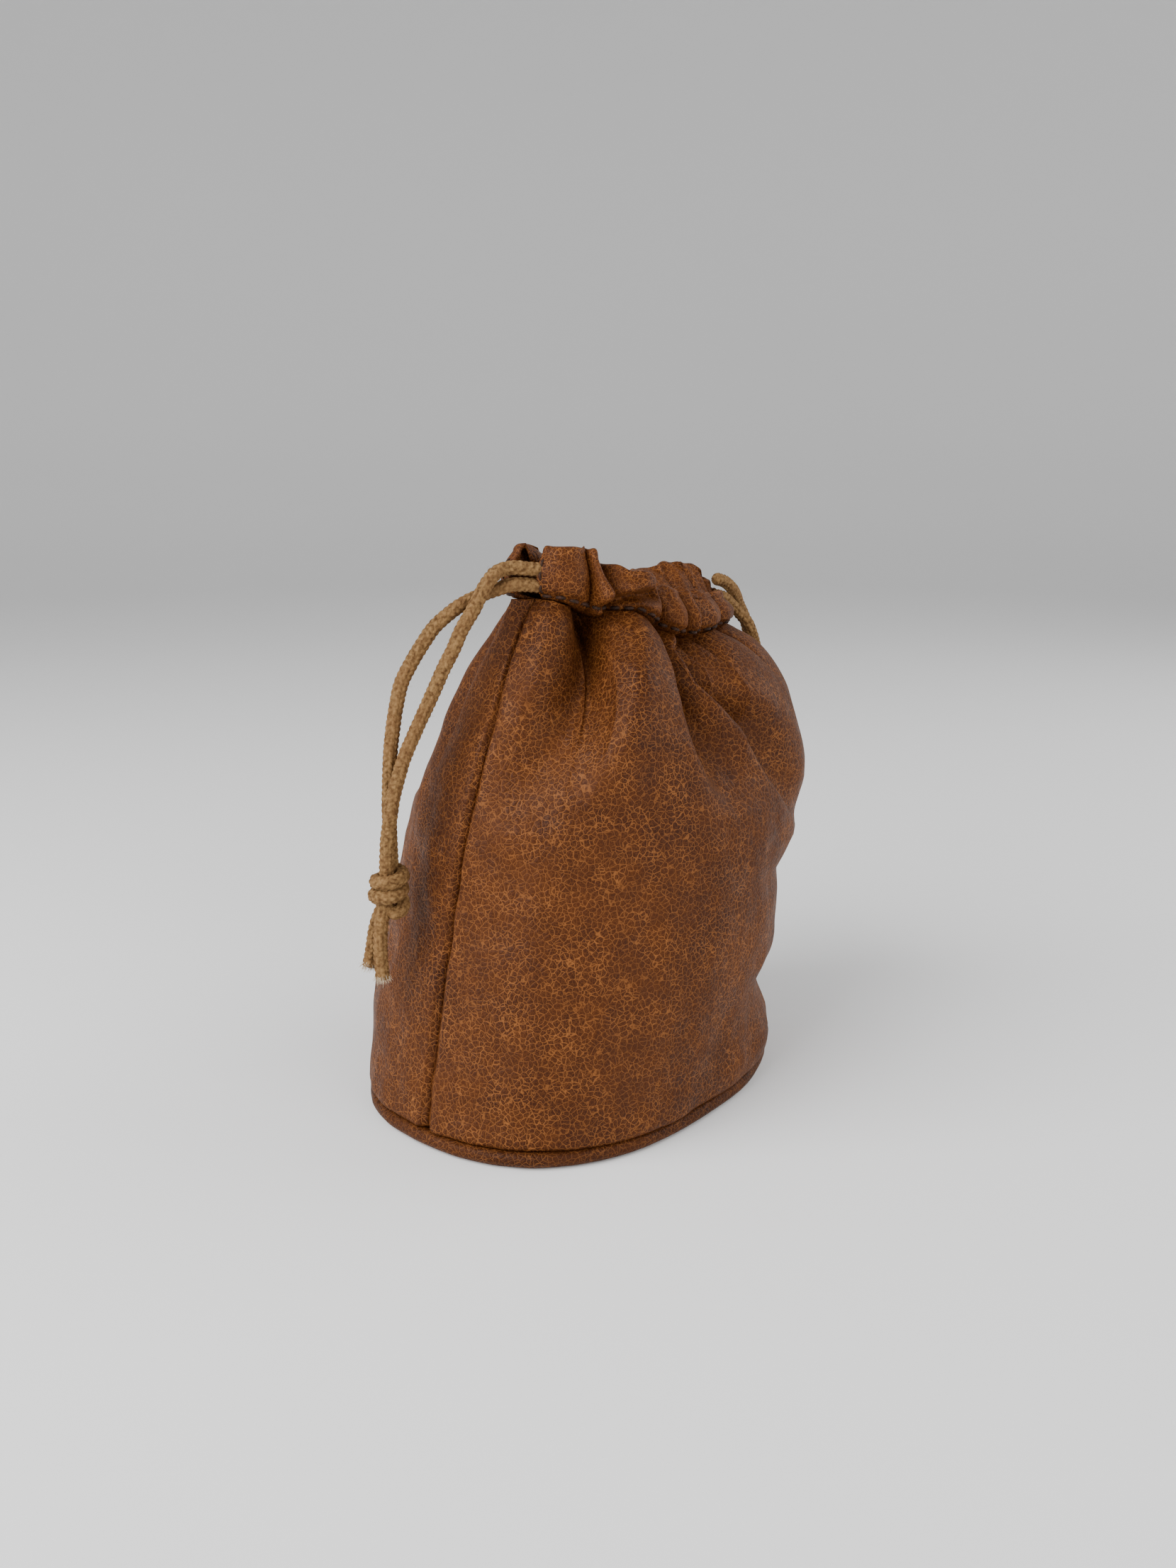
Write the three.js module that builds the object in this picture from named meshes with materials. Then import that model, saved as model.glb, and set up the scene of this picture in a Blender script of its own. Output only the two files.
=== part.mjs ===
// Drawstring bucket bag: a soft leather pouch on an oval base, drawn closed by two knotted cords.
// Millimetres, +Z up. X runs along the oval base and the front panel faces -Y.
// "Left" is the -X end and "right" is the +X end.
import * as THREE from 'three';

// Driving dimensions.
const LEATHER = 1.3; // thickness of every leather piece
const CORD = 4; // diameter of the braided cord
const SQUEEZED_CORD = 3.4; // and where the gathers squeeze it, inside the casings
const THREAD = 0.8; // diameter of the waxed sewing thread
const TOUCH = 0.3; // clearance between pieces that touch
const CORD_SPLIT = 0.6; // gap where a strand can swing up from its slit
const SEAM_GROOVE = THREAD + 2 * TOUCH; // space between two sewn edges, which the thread fills
const BASE_RIM = 4.6; // height of the base's turned-up edge
const SEAM_ALLOWANCE = 5; // leather turned in behind each side seam
const SEAM_HEIGHT = 148.5; // height of the casing seam, at mid length
const SEAM_TILT = 7; // the casing seam stands this much higher at the left, lower at the right
const CASING_HEIGHT = 16.75; // height of the casing above its seam, at mid length
const CASING_TAPER = 1.25; // the casing is this much taller at the left, shorter at the right
const MOUTH_SKEW = -0.082; // sideways slope of the gathered mouth's long axis
const MOUTH_POWER = 2.1; // squareness of the mouth's oval, 2 being an ellipse
const SLIT = 6.4; // width of the gap between the two casings, where the cords come out
const GATHER_START = 85; // height at which the gathers begin

// The leaning bag's bounding box, without the cords, is centred on the origin.
const BASE_CENTRE = new THREE.Vector3(-8.5, -0.4, 0);

// Oval sections of the pouch: height, half length, half width, centre and squareness.
const SECTIONS = [
  { z: 0, a: 68, b: 53.5, x: 0, y: 0, power: 2.4, skew: 0 },
  { z: 12, a: 66.5, b: 55.5, x: 0, y: 1, power: 2.35, skew: 0 },
  { z: 37, a: 64.5, b: 58.5, x: 3, y: 1, power: 2.25, skew: 0 },
  { z: 66, a: 64.5, b: 59, x: 9, y: 0, power: 2.1, skew: 0 },
  { z: 95, a: 66.5, b: 55, x: 16.5, y: -3, power: 2.1, skew: 0 },
  { z: 125, a: 60.5, b: 45, x: 22.5, y: -3.5, power: 2.1, skew: 0 },
  { z: SEAM_HEIGHT, a: 48.5, b: 22, x: 22.5, y: -8.2, power: MOUTH_POWER, skew: MOUTH_SKEW },
];

// The casing is a strip folded over the cords: up outside, over the top and down inside.
// rise is the part of the casing's height; inset is the distance in from the oval of that height.
const CASING_FOOT = { rise: 0.06, a: 48.5, b: 22.2, x: 22.5 };
const CASING_LOWER = { rise: 0.33, a: 48.5, b: 23.4, x: 21.6 };
const CASING_UPPER = { rise: 0.7, a: 46.6, b: 21.8, x: 19.9 };
const CASING_FOLD = [
  { ...CASING_FOOT, inset: 0 },
  { ...CASING_LOWER, inset: 0 },
  { ...CASING_UPPER, inset: 0 },
  { ...CASING_UPPER, rise: 0.93, inset: 1.7 },
  { ...CASING_UPPER, rise: 1, inset: 4 },
  { ...CASING_UPPER, rise: 0.93, inset: 6.3 },
  { ...CASING_UPPER, inset: 7.8 },
  { ...CASING_LOWER, inset: 7.4 },
  { ...CASING_FOOT, inset: 5.4 },
];

// The line between the panels' top edges and the casings, which the casing seam's thread follows.
const SEAM_STATION = { ...CASING_FOOT, rise: 0, b: 22, inset: 0 };

// Where each cord runs inside the casings.
const UPPER_RUN = { ...CASING_UPPER, rise: 0.68, inset: 3.9 };
const LOWER_RUN = { ...CASING_LOWER, inset: 3.7 };

// Gathers: place along the panel from left to right (0 to 1), half width and depth.
const GATHERS = {
  front: [
    { at: 0.23, half: 0.09, depth: 4.5 },
    { at: 0.42, half: 0.09, depth: 4 },
    { at: 0.6, half: 0.09, depth: 4 },
    { at: 0.78, half: 0.09, depth: 4 },
  ],
  back: [
    { at: 0.18, half: 0.09, depth: 4 },
    { at: 0.38, half: 0.09, depth: 4.5 },
    { at: 0.58, half: 0.09, depth: 4 },
    { at: 0.78, half: 0.09, depth: 4 },
  ],
};

// Each free cord hangs in a vertical plane. Its route is [distance out from the slit, height].
// The strands start one above the other and end side by side, spread apart either way.
const LEFT_CORD = {
  name: 'left_cord',
  slit: new THREE.Vector3(-27, -4.8, 0),
  bearing: 150,
  feedEnd: 4.2,
  front: {
    route: [
      [0.2, 164.3], [4.2, 164.6], [8.4, 163.9], [11.6, 161.3], [14.1, 157.6], [16.2, 153.6], [19.6, 148.4],
      [22.2, 143], [25.4, 137.2], [28.2, 131.4], [31.2, 125.5], [34.1, 119.7], [36.9, 113.8], [39.1, 107.8],
      [40.8, 101.8], [41.5, 95], [41.9, 88], [42.2, 81.1],
    ],
    tail: [[43.6, 65.7], [45.2, 60], [45.9, 54], [45.9, 48.2]],
  },
  back: {
    route: [
      [0.2, 159.8], [4.2, 159.9], [7.6, 159], [10.4, 158], [13.4, 156.8], [16.5, 155.6], [20.7, 153.2],
      [25.9, 149.2], [29.5, 144.8], [33.3, 139], [36.4, 133.2], [38.2, 126.2], [39.6, 118.2], [40.5, 110.1],
      [40.9, 103.9], [41.3, 96], [41.7, 88], [42.2, 81.1],
    ],
    tail: [[44, 65.7], [45.8, 60.9], [47.2, 55.8], [48.7, 50.8]],
  },
  knot: [42.8, 73.4],
};
const RIGHT_CORD = {
  name: 'right_cord',
  slit: new THREE.Vector3(65, -12, 0),
  bearing: 0,
  feedEnd: 4.2,
  front: {
    route: [
      [0.2, 149.2], [4.2, 146.8], [8, 143.9], [11.4, 140.4], [14.4, 136.4], [17, 131.6], [19.4, 125.6],
      [21.3, 118.5], [22.6, 110], [23.2, 101], [23.6, 92], [23.8, 84], [23.8, 77],
    ],
    tail: [[24.2, 61.6], [24.8, 53], [25.6, 44], [26.8, 36]],
  },
  back: {
    route: [
      [0.2, 154.6], [4.2, 152.3], [8.5, 149.4], [12.5, 146], [15.8, 142.2], [18.4, 138], [20.4, 133],
      [21.9, 127], [22.9, 119.5], [23.4, 110.5], [23.7, 100], [23.8, 88], [23.8, 77],
    ],
    tail: [[24.8, 61.6], [26, 53], [27.5, 45], [29.2, 38.5]],
  },
  knot: [24, 69.3],
};
const STRAND_SPREAD = CORD / 2 + TOUCH / 2 + 0.05;
const SPREAD_START = 5; // distance out at which the strands begin to spread sideways
const SPREAD_END = 13;

const materials = {
  leather: () => new THREE.MeshStandardMaterial({ color: 0x8a4f26, roughness: 0.6, metalness: 0 }),
  cord: () => new THREE.MeshStandardMaterial({ color: 0x9c7f56, roughness: 0.9, metalness: 0 }),
  thread: () => new THREE.MeshStandardMaterial({ color: 0x2e1a10, roughness: 0.7, metalness: 0 }),
};

const bag = new THREE.Group();
bag.position.copy(BASE_CENTRE);

function addMesh(name, geometry, kind) {
  const mesh = new THREE.Mesh(geometry, materials[kind]());
  mesh.name = name;
  bag.add(mesh);
}

// Smooth value of one section property at a height: a cubic through the listed sections.
function sectionValue(key, z) {
  const last = SECTIONS.length - 1;
  let i = 0;
  while (i < last - 1 && z > SECTIONS[i + 1].z) i += 1;
  const slope = (k) => {
    const below = SECTIONS[Math.max(k - 1, 0)];
    const above = SECTIONS[Math.min(k + 1, last)];
    return (above[key] - below[key]) / (above.z - below.z);
  };
  const span = SECTIONS[i + 1].z - SECTIONS[i].z;
  const t = (z - SECTIONS[i].z) / span;
  const t2 = t * t;
  const t3 = t2 * t;
  return (2 * t3 - 3 * t2 + 1) * SECTIONS[i][key] + (t3 - 2 * t2 + t) * span * slope(i)
    + (3 * t2 - 2 * t3) * SECTIONS[i + 1][key] + (t3 - t2) * span * slope(i + 1);
}

function sectionAt(z) {
  const section = { z };
  for (const key of ['a', 'b', 'x', 'y', 'power', 'skew']) section[key] = sectionValue(key, z);
  return section;
}

// How far the gathers pull the wall in, along one side from left (0) to right (1).
function gatherDepth(side, along) {
  let depth = 0;
  for (const fold of GATHERS[side]) {
    const offset = (along - fold.at) / fold.half;
    if (Math.abs(offset) < 1) depth += fold.depth * Math.cos(offset * Math.PI / 2) ** 2;
  }
  return depth;
}

// A point on an oval, moved inwards by inset. cross is its place along the oval's length, -1 to 1.
function ovalPoint(section, side, along, inset) {
  const angle = side === 'front' ? Math.PI * (1 + along) : Math.PI * (1 - along);
  const c = Math.cos(angle);
  const s = Math.sin(angle);
  const cross = Math.sign(c) * Math.abs(c) ** (2 / section.power);
  const depth = Math.sign(s) * Math.abs(s) ** (2 / section.power);
  const normal = new THREE.Vector2(c / section.a, s / section.b).normalize();
  const x = section.a * cross - inset * normal.x;
  const y = section.b * depth - inset * normal.y;
  return { x: section.x + x, y: section.y + y + section.skew * x, cross };
}

function wallPoint(side, along, z) {
  const fade = THREE.MathUtils.smoothstep(z, GATHER_START, SEAM_HEIGHT);
  const section = sectionAt(z);
  const point = ovalPoint(section, side, along, fade * gatherDepth(side, along));
  const tilt = SEAM_TILT * (z / SEAM_HEIGHT) ** 2 * point.cross;
  return new THREE.Vector3(point.x, point.y, z - tilt);
}

// A point of the gathered casing, at a rise between its seam (0) and its top (1).
function casingPoint(side, along, station) {
  const seam = SECTIONS[SECTIONS.length - 1];
  const section = { ...seam, a: station.a, b: station.b, x: station.x };
  const point = ovalPoint(section, side, along, station.inset + gatherDepth(side, along));
  const seamZ = SEAM_HEIGHT - SEAM_TILT * point.cross;
  const height = CASING_HEIGHT - CASING_TAPER * point.cross;
  return new THREE.Vector3(point.x, point.y, seamZ + station.rise * height);
}

// The place along a side where the wall is a given distance from the line between the slits.
function alongAt(section, distance) {
  return Math.asin((distance / section.b) ** (section.power / 2)) / Math.PI;
}

function evenSteps(from, to, count) {
  return Array.from({ length: count + 1 }, (_, i) => from + (to - from) * i / count);
}

// Builds a geometry and turns its triangles to face outwards.
function closedGeometry(points, triangles) {
  let volume = 0;
  const cross = new THREE.Vector3();
  for (const [i, j, k] of triangles) volume += points[i].dot(cross.crossVectors(points[j], points[k]));
  const facing = volume > 0 ? triangles : triangles.map(([i, j, k]) => [i, k, j]);
  const geometry = new THREE.BufferGeometry();
  geometry.setAttribute('position', new THREE.Float32BufferAttribute(points.flatMap((p) => p.toArray()), 3));
  geometry.setIndex(facing.flat());
  geometry.computeVertexNormals();
  return geometry;
}

// A sheet of leather: a grid of points on its middle surface, given a thickness and closed edges.
function sheetGeometry(grid, thickness) {
  const rows = grid.length;
  const columns = grid[0].length;
  const points = [];
  for (const sign of [1, -1]) {
    for (let i = 0; i < rows; i += 1) {
      for (let j = 0; j < columns; j += 1) {
        const alongRow = new THREE.Vector3().subVectors(
          grid[Math.min(i + 1, rows - 1)][j], grid[Math.max(i - 1, 0)][j]);
        const alongColumn = new THREE.Vector3().subVectors(
          grid[i][Math.min(j + 1, columns - 1)], grid[i][Math.max(j - 1, 0)]);
        const normal = alongRow.cross(alongColumn).normalize();
        points.push(grid[i][j].clone().addScaledVector(normal, sign * thickness / 2));
      }
    }
  }
  const at = (layer, i, j) => layer * rows * columns + i * columns + j;
  const triangles = [];
  const quad = (p, q, r, s) => triangles.push([p, q, r], [p, r, s]);
  for (let i = 0; i < rows - 1; i += 1) {
    for (let j = 0; j < columns - 1; j += 1) {
      quad(at(0, i, j), at(0, i + 1, j), at(0, i + 1, j + 1), at(0, i, j + 1));
      quad(at(1, i, j), at(1, i, j + 1), at(1, i + 1, j + 1), at(1, i + 1, j));
    }
  }
  for (let i = 0; i < rows - 1; i += 1) {
    quad(at(0, i + 1, 0), at(0, i, 0), at(1, i, 0), at(1, i + 1, 0));
    quad(at(0, i, columns - 1), at(0, i + 1, columns - 1), at(1, i + 1, columns - 1), at(1, i, columns - 1));
  }
  for (let j = 0; j < columns - 1; j += 1) {
    quad(at(0, 0, j), at(0, 0, j + 1), at(1, 0, j + 1), at(1, 0, j));
    quad(at(0, rows - 1, j + 1), at(0, rows - 1, j), at(1, rows - 1, j), at(1, rows - 1, j + 1));
  }
  return closedGeometry(points, triangles);
}

// A round bar along a smooth curve through the points.
function barGeometry(points, diameter, sides, steps) {
  const section = new THREE.Shape();
  for (let i = 0; i < sides; i += 1) {
    const angle = 2 * Math.PI * i / sides;
    const x = diameter / 2 * Math.cos(angle);
    const y = diameter / 2 * Math.sin(angle);
    if (i === 0) section.moveTo(x, y);
    else section.lineTo(x, y);
  }
  const extrudePath = new THREE.CatmullRomCurve3(points);
  return new THREE.ExtrudeGeometry(section, { steps, bevelEnabled: false, extrudePath });
}

// The base: an oval floor with a rounded edge turned up at its rim.
function addBase() {
  const sides = 48;
  const profile = [
    { inset: 3, z: 0 },
    { inset: 0.6, z: 0.9 },
    { inset: 0, z: 2.4 },
    { inset: 0.4, z: BASE_RIM },
    { inset: 0.4 + LEATHER, z: BASE_RIM },
    { inset: 0.2 + LEATHER, z: 2.8 },
    { inset: 3.2, z: LEATHER },
  ];
  const points = profile.flatMap(({ inset, z }) => Array.from({ length: sides }, (_, i) => {
    const point = ovalPoint(SECTIONS[0], 'front', 2 * i / sides, inset);
    return new THREE.Vector3(point.x, point.y, z);
  }));
  const triangles = [];
  for (let ring = 0; ring < profile.length - 1; ring += 1) {
    for (let i = 0; i < sides; i += 1) {
      const here = ring * sides + i;
      const next = ring * sides + (i + 1) % sides;
      triangles.push([here, next, next + sides], [here, next + sides, here + sides]);
    }
  }
  const bottom = points.push(new THREE.Vector3(0, 0, 0)) - 1;
  const top = points.push(new THREE.Vector3(0, 0, LEATHER)) - 1;
  const lastRing = (profile.length - 1) * sides;
  for (let i = 0; i < sides; i += 1) {
    const next = (i + 1) % sides;
    triangles.push([bottom, next, i], [top, lastRing + i, lastRing + next]);
  }
  addMesh('base_panel', closedGeometry(points, triangles), 'leather');
}

// A front or back panel, from side seam to side seam, with its edges turned in behind the seams.
function addPanel(side) {
  const columns = 40;
  const bottom = BASE_RIM + SEAM_GROOVE;
  const top = SEAM_HEIGHT - 1.4;
  const heights = [bottom, 14, 30, 50, 70, 88, 102, 114, 125, 134, 142, top];
  const edge = SEAM_GROOVE / 2 + LEATHER / 2;
  const grid = heights.map((z) => {
    const inner = alongAt(sectionAt(z), edge);
    const row = evenSteps(inner, 1 - inner, columns).map((along) => wallPoint(side, along, z));
    const turnedIn = (point, direction) => [1, 0.5].map((part) => (
      new THREE.Vector3(point.x + direction * part * SEAM_ALLOWANCE, point.y, point.z)));
    return [...turnedIn(row[0], 1), ...row, ...turnedIn(row[row.length - 1], -1).reverse()];
  });
  addMesh(`${side}_panel`, sheetGeometry(grid, LEATHER), 'leather');
}

function addCasing(side) {
  const columns = 40;
  const grid = CASING_FOLD.map((station) => {
    const edge = alongAt({ b: station.b, power: MOUTH_POWER }, SLIT / 2);
    return evenSteps(edge, 1 - edge, columns).map((along) => casingPoint(side, along, station));
  });
  addMesh(`${side}_casing`, sheetGeometry(grid, LEATHER), 'leather');
}

// Threads fill the grooves of the side and base seams, and lie on the casings where they show.
function addThreads() {
  const inward = THREAD;
  for (const [name, along, direction] of [['left', 0, 1], ['right', 1, -1]]) {
    const heights = evenSteps(BASE_RIM + 4, SEAM_HEIGHT - 3, 12);
    const line = heights.map((z) => {
      const point = wallPoint('front', along, z);
      return point.add(new THREE.Vector3(direction * inward, 0, 0));
    });
    addMesh(`${name}_side_seam_thread`, barGeometry(line, THREAD, 6, 16), 'thread');
  }

  const baseLine = evenSteps(0.01, 1.99, 48).map((along) => {
    const point = ovalPoint(SECTIONS[0], 'front', along, 1.5);
    return new THREE.Vector3(point.x, point.y, BASE_RIM + SEAM_GROOVE / 2);
  });
  addMesh('base_seam_thread', barGeometry(baseLine, THREAD, 6, 56), 'thread');

  const outside = LEATHER / 2 + TOUCH + THREAD / 2;
  for (const side of ['front', 'back']) {
    const seamLine = evenSteps(0.03, 0.97, 44).map((along) => casingPoint(side, along, SEAM_STATION));
    addMesh(`${side}_casing_seam_thread`, barGeometry(seamLine, THREAD, 6, 50), 'thread');
    for (const [end, along] of [['left', 0.078], ['right', 0.922]]) {
      const hem = [0.1, 0.5, 0.9].map((part) => {
        const line = { inset: -outside };
        for (const key of ['rise', 'a', 'b', 'x']) {
          line[key] = THREE.MathUtils.lerp(CASING_LOWER[key], CASING_UPPER[key], part);
        }
        return casingPoint(side, along, line);
      });
      addMesh(`${side}_casing_${end}_hem_thread`, barGeometry(hem, THREAD, 6, 4), 'thread');
    }
  }
}

// The hidden part of a cord: once round the mouth inside both casings, from its own slit and back.
function addCordRun(name, station, startsAtLeft) {
  const ends = 0.07;
  const lap = evenSteps(ends, 2 - ends, 56).map((turn) => {
    const onFront = turn <= 1;
    const gone = onFront ? turn : turn - 1;
    const forwards = startsAtLeft === onFront;
    return casingPoint(onFront ? 'front' : 'back', forwards ? gone : 1 - gone, station);
  });
  addMesh(`${name}_casing_run`, barGeometry(lap, SQUEEZED_CORD, 8, 80), 'cord');
}

// Turns a cord's [distance out, height] and sideways offset into a point.
function hangingPoint(cord, out, z, sideways) {
  const bearing = THREE.MathUtils.degToRad(cord.bearing);
  const x = cord.slit.x + out * Math.cos(bearing) - sideways * Math.abs(Math.sin(bearing));
  const y = cord.slit.y + out * Math.sin(bearing) - sideways * Math.abs(Math.cos(bearing));
  return new THREE.Vector3(x, y, z);
}

// The knot's outline: the cord wrapped twice round both strands.
function knotGeometry() {
  const outline = [
    [0, -6.8], [3, -6.6], [4.9, -5.4], [5.5, -3.4], [5, -1.2], [4.7, 0], [5, 1.2],
    [5.5, 3.4], [4.9, 5.4], [3, 6.6], [0, 6.8],
  ];
  const geometry = new THREE.LatheGeometry(outline.map(([r, y]) => new THREE.Vector2(r, y)), 12);
  return geometry.rotateX(Math.PI / 2);
}

// A free cord: two strands out of the slit, tied in one knot, with a short tail each.
function addFreeCord(cord) {
  for (const [strand, side] of [['front', 1], ['back', -1]]) {
    const { route, tail } = cord[strand];
    const spread = (out) => side * STRAND_SPREAD * THREE.MathUtils.smoothstep(out, SPREAD_START, SPREAD_END);
    const place = ([out, z]) => hangingPoint(cord, out, z, spread(out));
    const feed = route.filter(([out]) => out <= cord.feedEnd).map(place);
    const drop = route.filter(([out]) => out >= cord.feedEnd).map(place);
    const away = new THREE.Vector3().subVectors(drop[1], drop[0]).normalize();
    drop[0].addScaledVector(away, CORD_SPLIT);
    addMesh(`${cord.name}_${strand}_feed`, barGeometry(feed, CORD, 8, 1), 'cord');
    addMesh(`${cord.name}_${strand}_strand`, barGeometry(drop, CORD, 8, 14), 'cord');
    addMesh(`${cord.name}_${strand}_tail`, barGeometry(tail.map(place), CORD, 8, 4), 'cord');
  }
  const knot = knotGeometry();
  const centre = hangingPoint(cord, cord.knot[0], cord.knot[1], 0);
  addMesh(`${cord.name}_knot`, knot.translate(centre.x, centre.y, centre.z), 'cord');
}

addBase();
addPanel('front');
addPanel('back');
addCasing('front');
addCasing('back');
addThreads();
addCordRun('left_cord', UPPER_RUN, true);
addCordRun('right_cord', LOWER_RUN, false);
addFreeCord(LEFT_CORD);
addFreeCord(RIGHT_CORD);

export default bag;
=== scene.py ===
"""The looks of a drawstring bucket bag: gathered leather, sewn seams, braided cords and their knots."""
import math
import bpy
import numpy as np
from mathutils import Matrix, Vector


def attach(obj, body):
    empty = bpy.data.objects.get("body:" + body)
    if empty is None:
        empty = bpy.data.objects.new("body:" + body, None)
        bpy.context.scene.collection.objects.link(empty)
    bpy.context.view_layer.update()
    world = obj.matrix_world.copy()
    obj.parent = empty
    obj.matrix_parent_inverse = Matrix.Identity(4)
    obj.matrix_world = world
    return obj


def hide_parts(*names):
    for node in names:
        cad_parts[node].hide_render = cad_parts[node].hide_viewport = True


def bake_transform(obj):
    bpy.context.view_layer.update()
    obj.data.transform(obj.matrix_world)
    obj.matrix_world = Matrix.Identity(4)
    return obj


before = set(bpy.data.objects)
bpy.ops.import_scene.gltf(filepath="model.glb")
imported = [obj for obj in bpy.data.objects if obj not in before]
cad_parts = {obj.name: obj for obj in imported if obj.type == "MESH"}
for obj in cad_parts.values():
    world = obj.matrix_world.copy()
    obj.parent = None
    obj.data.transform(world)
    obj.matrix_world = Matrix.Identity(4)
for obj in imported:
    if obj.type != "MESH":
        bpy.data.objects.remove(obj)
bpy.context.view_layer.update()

MM = 0.001

# Driving sizes, in millimetres, from the centre of the oval base.
BASE_CENTRE = np.array([-8.5, -0.4, 0.0])
LEATHER = 1.2
CORD = 4.0
SEAM_HEIGHT = 148.5
SEAM_TILT = 7.0
MOUTH_SKEW = -0.082
SLIT = 6.4
WALL_FOOT = 5.2

# Oval sections of the pouch: height, half length, half width, centre x and y, squareness, skew.
SECTIONS = np.array([
    [0, 68, 53.5, 0, 0, 2.4, 0],
    [12, 66.5, 55.5, 0, 1, 2.35, 0],
    [37, 64.5, 58.5, 3, 1, 2.25, 0],
    [66, 64.5, 59, 9, 0, 2.1, 0],
    [95, 66.5, 55, 16.5, -3, 2.1, 0],
    [125, 60.5, 45, 22.5, -3.5, 2.1, 0],
    [SEAM_HEIGHT, 48.5, 22, 22.5, -8.2, 2.1, MOUTH_SKEW],
])


def metres(points):
    """Millimetres from the base's centre to metres in the row's frame."""
    return (np.asarray(points, float) + BASE_CENTRE) * MM


# ---------------------------------------------------------------- camera

CAMERA_PLACE = (-309.1, -253.8, 195.0)
CAMERA_BEARING = math.radians(51.253)
CAMERA_DROP = math.radians(13.96)
CAMERA_LENS = 30.22


def add_camera():
    camera = bpy.data.objects.new("camera", bpy.data.cameras.new("camera"))
    bpy.context.scene.collection.objects.link(camera)
    camera.location = metres(CAMERA_PLACE)
    forward = Vector((math.sin(CAMERA_BEARING) * math.cos(CAMERA_DROP),
                      math.cos(CAMERA_BEARING) * math.cos(CAMERA_DROP), -math.sin(CAMERA_DROP)))
    camera.rotation_euler = forward.to_track_quat("-Z", "Y").to_euler()
    camera.data.sensor_width = 36
    camera.data.lens = CAMERA_LENS
    camera.data.clip_start = 0.01
    bpy.context.scene.camera = camera


add_camera()


# ---------------------------------------------------------------- materials

class Shader:
    """A material's node tree, with short ways to add the nodes that these surfaces need."""

    def __init__(self, name):
        self.material = bpy.data.materials.new(name)
        self.material.use_nodes = True
        self.nodes = self.material.node_tree.nodes
        self.links = self.material.node_tree.links
        self.surface = self.nodes["Principled BSDF"]
        place = self.nodes.new("ShaderNodeTexCoord")
        self.place = self.vector("SCALE", place.outputs["Object"], scale=1000.0)

    def put(self, value, socket):
        if isinstance(value, bpy.types.NodeSocket):
            self.links.new(value, socket)
        else:
            socket.default_value = value

    def vector(self, operation, a, b=None, scale=None):
        node = self.nodes.new("ShaderNodeVectorMath")
        node.operation = operation
        self.put(a, node.inputs[0])
        if b is not None:
            self.put(b, node.inputs[1])
        if scale is not None:
            node.inputs["Scale"].default_value = scale
        return node.outputs[0]

    def noise(self, size, detail=3.0, colour=False):
        """Noise whose lumps are about size millimetres across."""
        node = self.nodes.new("ShaderNodeTexNoise")
        self.put(self.place, node.inputs["Vector"])
        node.inputs["Scale"].default_value = 1.0 / size
        node.inputs["Detail"].default_value = detail
        return node.outputs["Color" if colour else "Fac"]

    def cells(self, size, place):
        """Distance to the border of cells about size millimetres across, 0 on the border."""
        node = self.nodes.new("ShaderNodeTexVoronoi")
        node.feature = "DISTANCE_TO_EDGE"
        self.put(place, node.inputs["Vector"])
        node.inputs["Scale"].default_value = 1.0 / size
        return node.outputs["Distance"]

    def ramp(self, value, low, high, start=0.0, end=1.0):
        node = self.nodes.new("ShaderNodeMapRange")
        self.put(value, node.inputs["Value"])
        for socket, number in zip(("From Min", "From Max", "To Min", "To Max"), (low, high, start, end)):
            node.inputs[socket].default_value = number
        return node.outputs["Result"]

    def math(self, operation, a, b):
        node = self.nodes.new("ShaderNodeMath")
        node.operation = operation
        self.put(a, node.inputs[0])
        self.put(b, node.inputs[1])
        return node.outputs[0]

    def mix(self, factor, a, b):
        """Colour a where factor is 0, b where it is 1."""
        node = self.nodes.new("ShaderNodeMix")
        node.data_type = "RGBA"
        self.put(factor, node.inputs[0])
        self.put(a, node.inputs[6])
        self.put(b, node.inputs[7])
        return node.outputs[2]

    def bump(self, height, strength, depth, under=None):
        """Relief of depth millimetres."""
        node = self.nodes.new("ShaderNodeBump")
        self.put(height, node.inputs["Height"])
        node.inputs["Strength"].default_value = strength
        node.inputs["Distance"].default_value = depth * MM
        if under:
            self.links.new(under, node.inputs["Normal"])
        return node.outputs["Normal"]

    def finish(self, colour, roughness, normal=None, specular=0.5):
        self.put(colour, self.surface.inputs["Base Color"])
        self.put(roughness, self.surface.inputs["Roughness"])
        self.surface.inputs["Specular IOR Level"].default_value = specular
        if normal:
            self.links.new(normal, self.surface.inputs["Normal"])
        return self.material


# Colours of the leather: its dark and paler cells, and the worn borders between them.
DARK_CELL = (0.022, 0.0046, 0.0008)
MIDDLE_CELL = (0.064, 0.0168, 0.0026)
CELL_BORDER = (0.250, 0.089, 0.0220)
# Colours of the cotton: its hollows, its yarns and the specks of dye.
COTTON_HOLLOW = (0.080, 0.036, 0.011)
COTTON_YARN = (0.25, 0.142, 0.055)
COTTON_SPECK = (0.17, 0.08, 0.03)


def toned(colour, tone=1.0):
    return tuple(part * tone for part in colour) + (1,)


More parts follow.
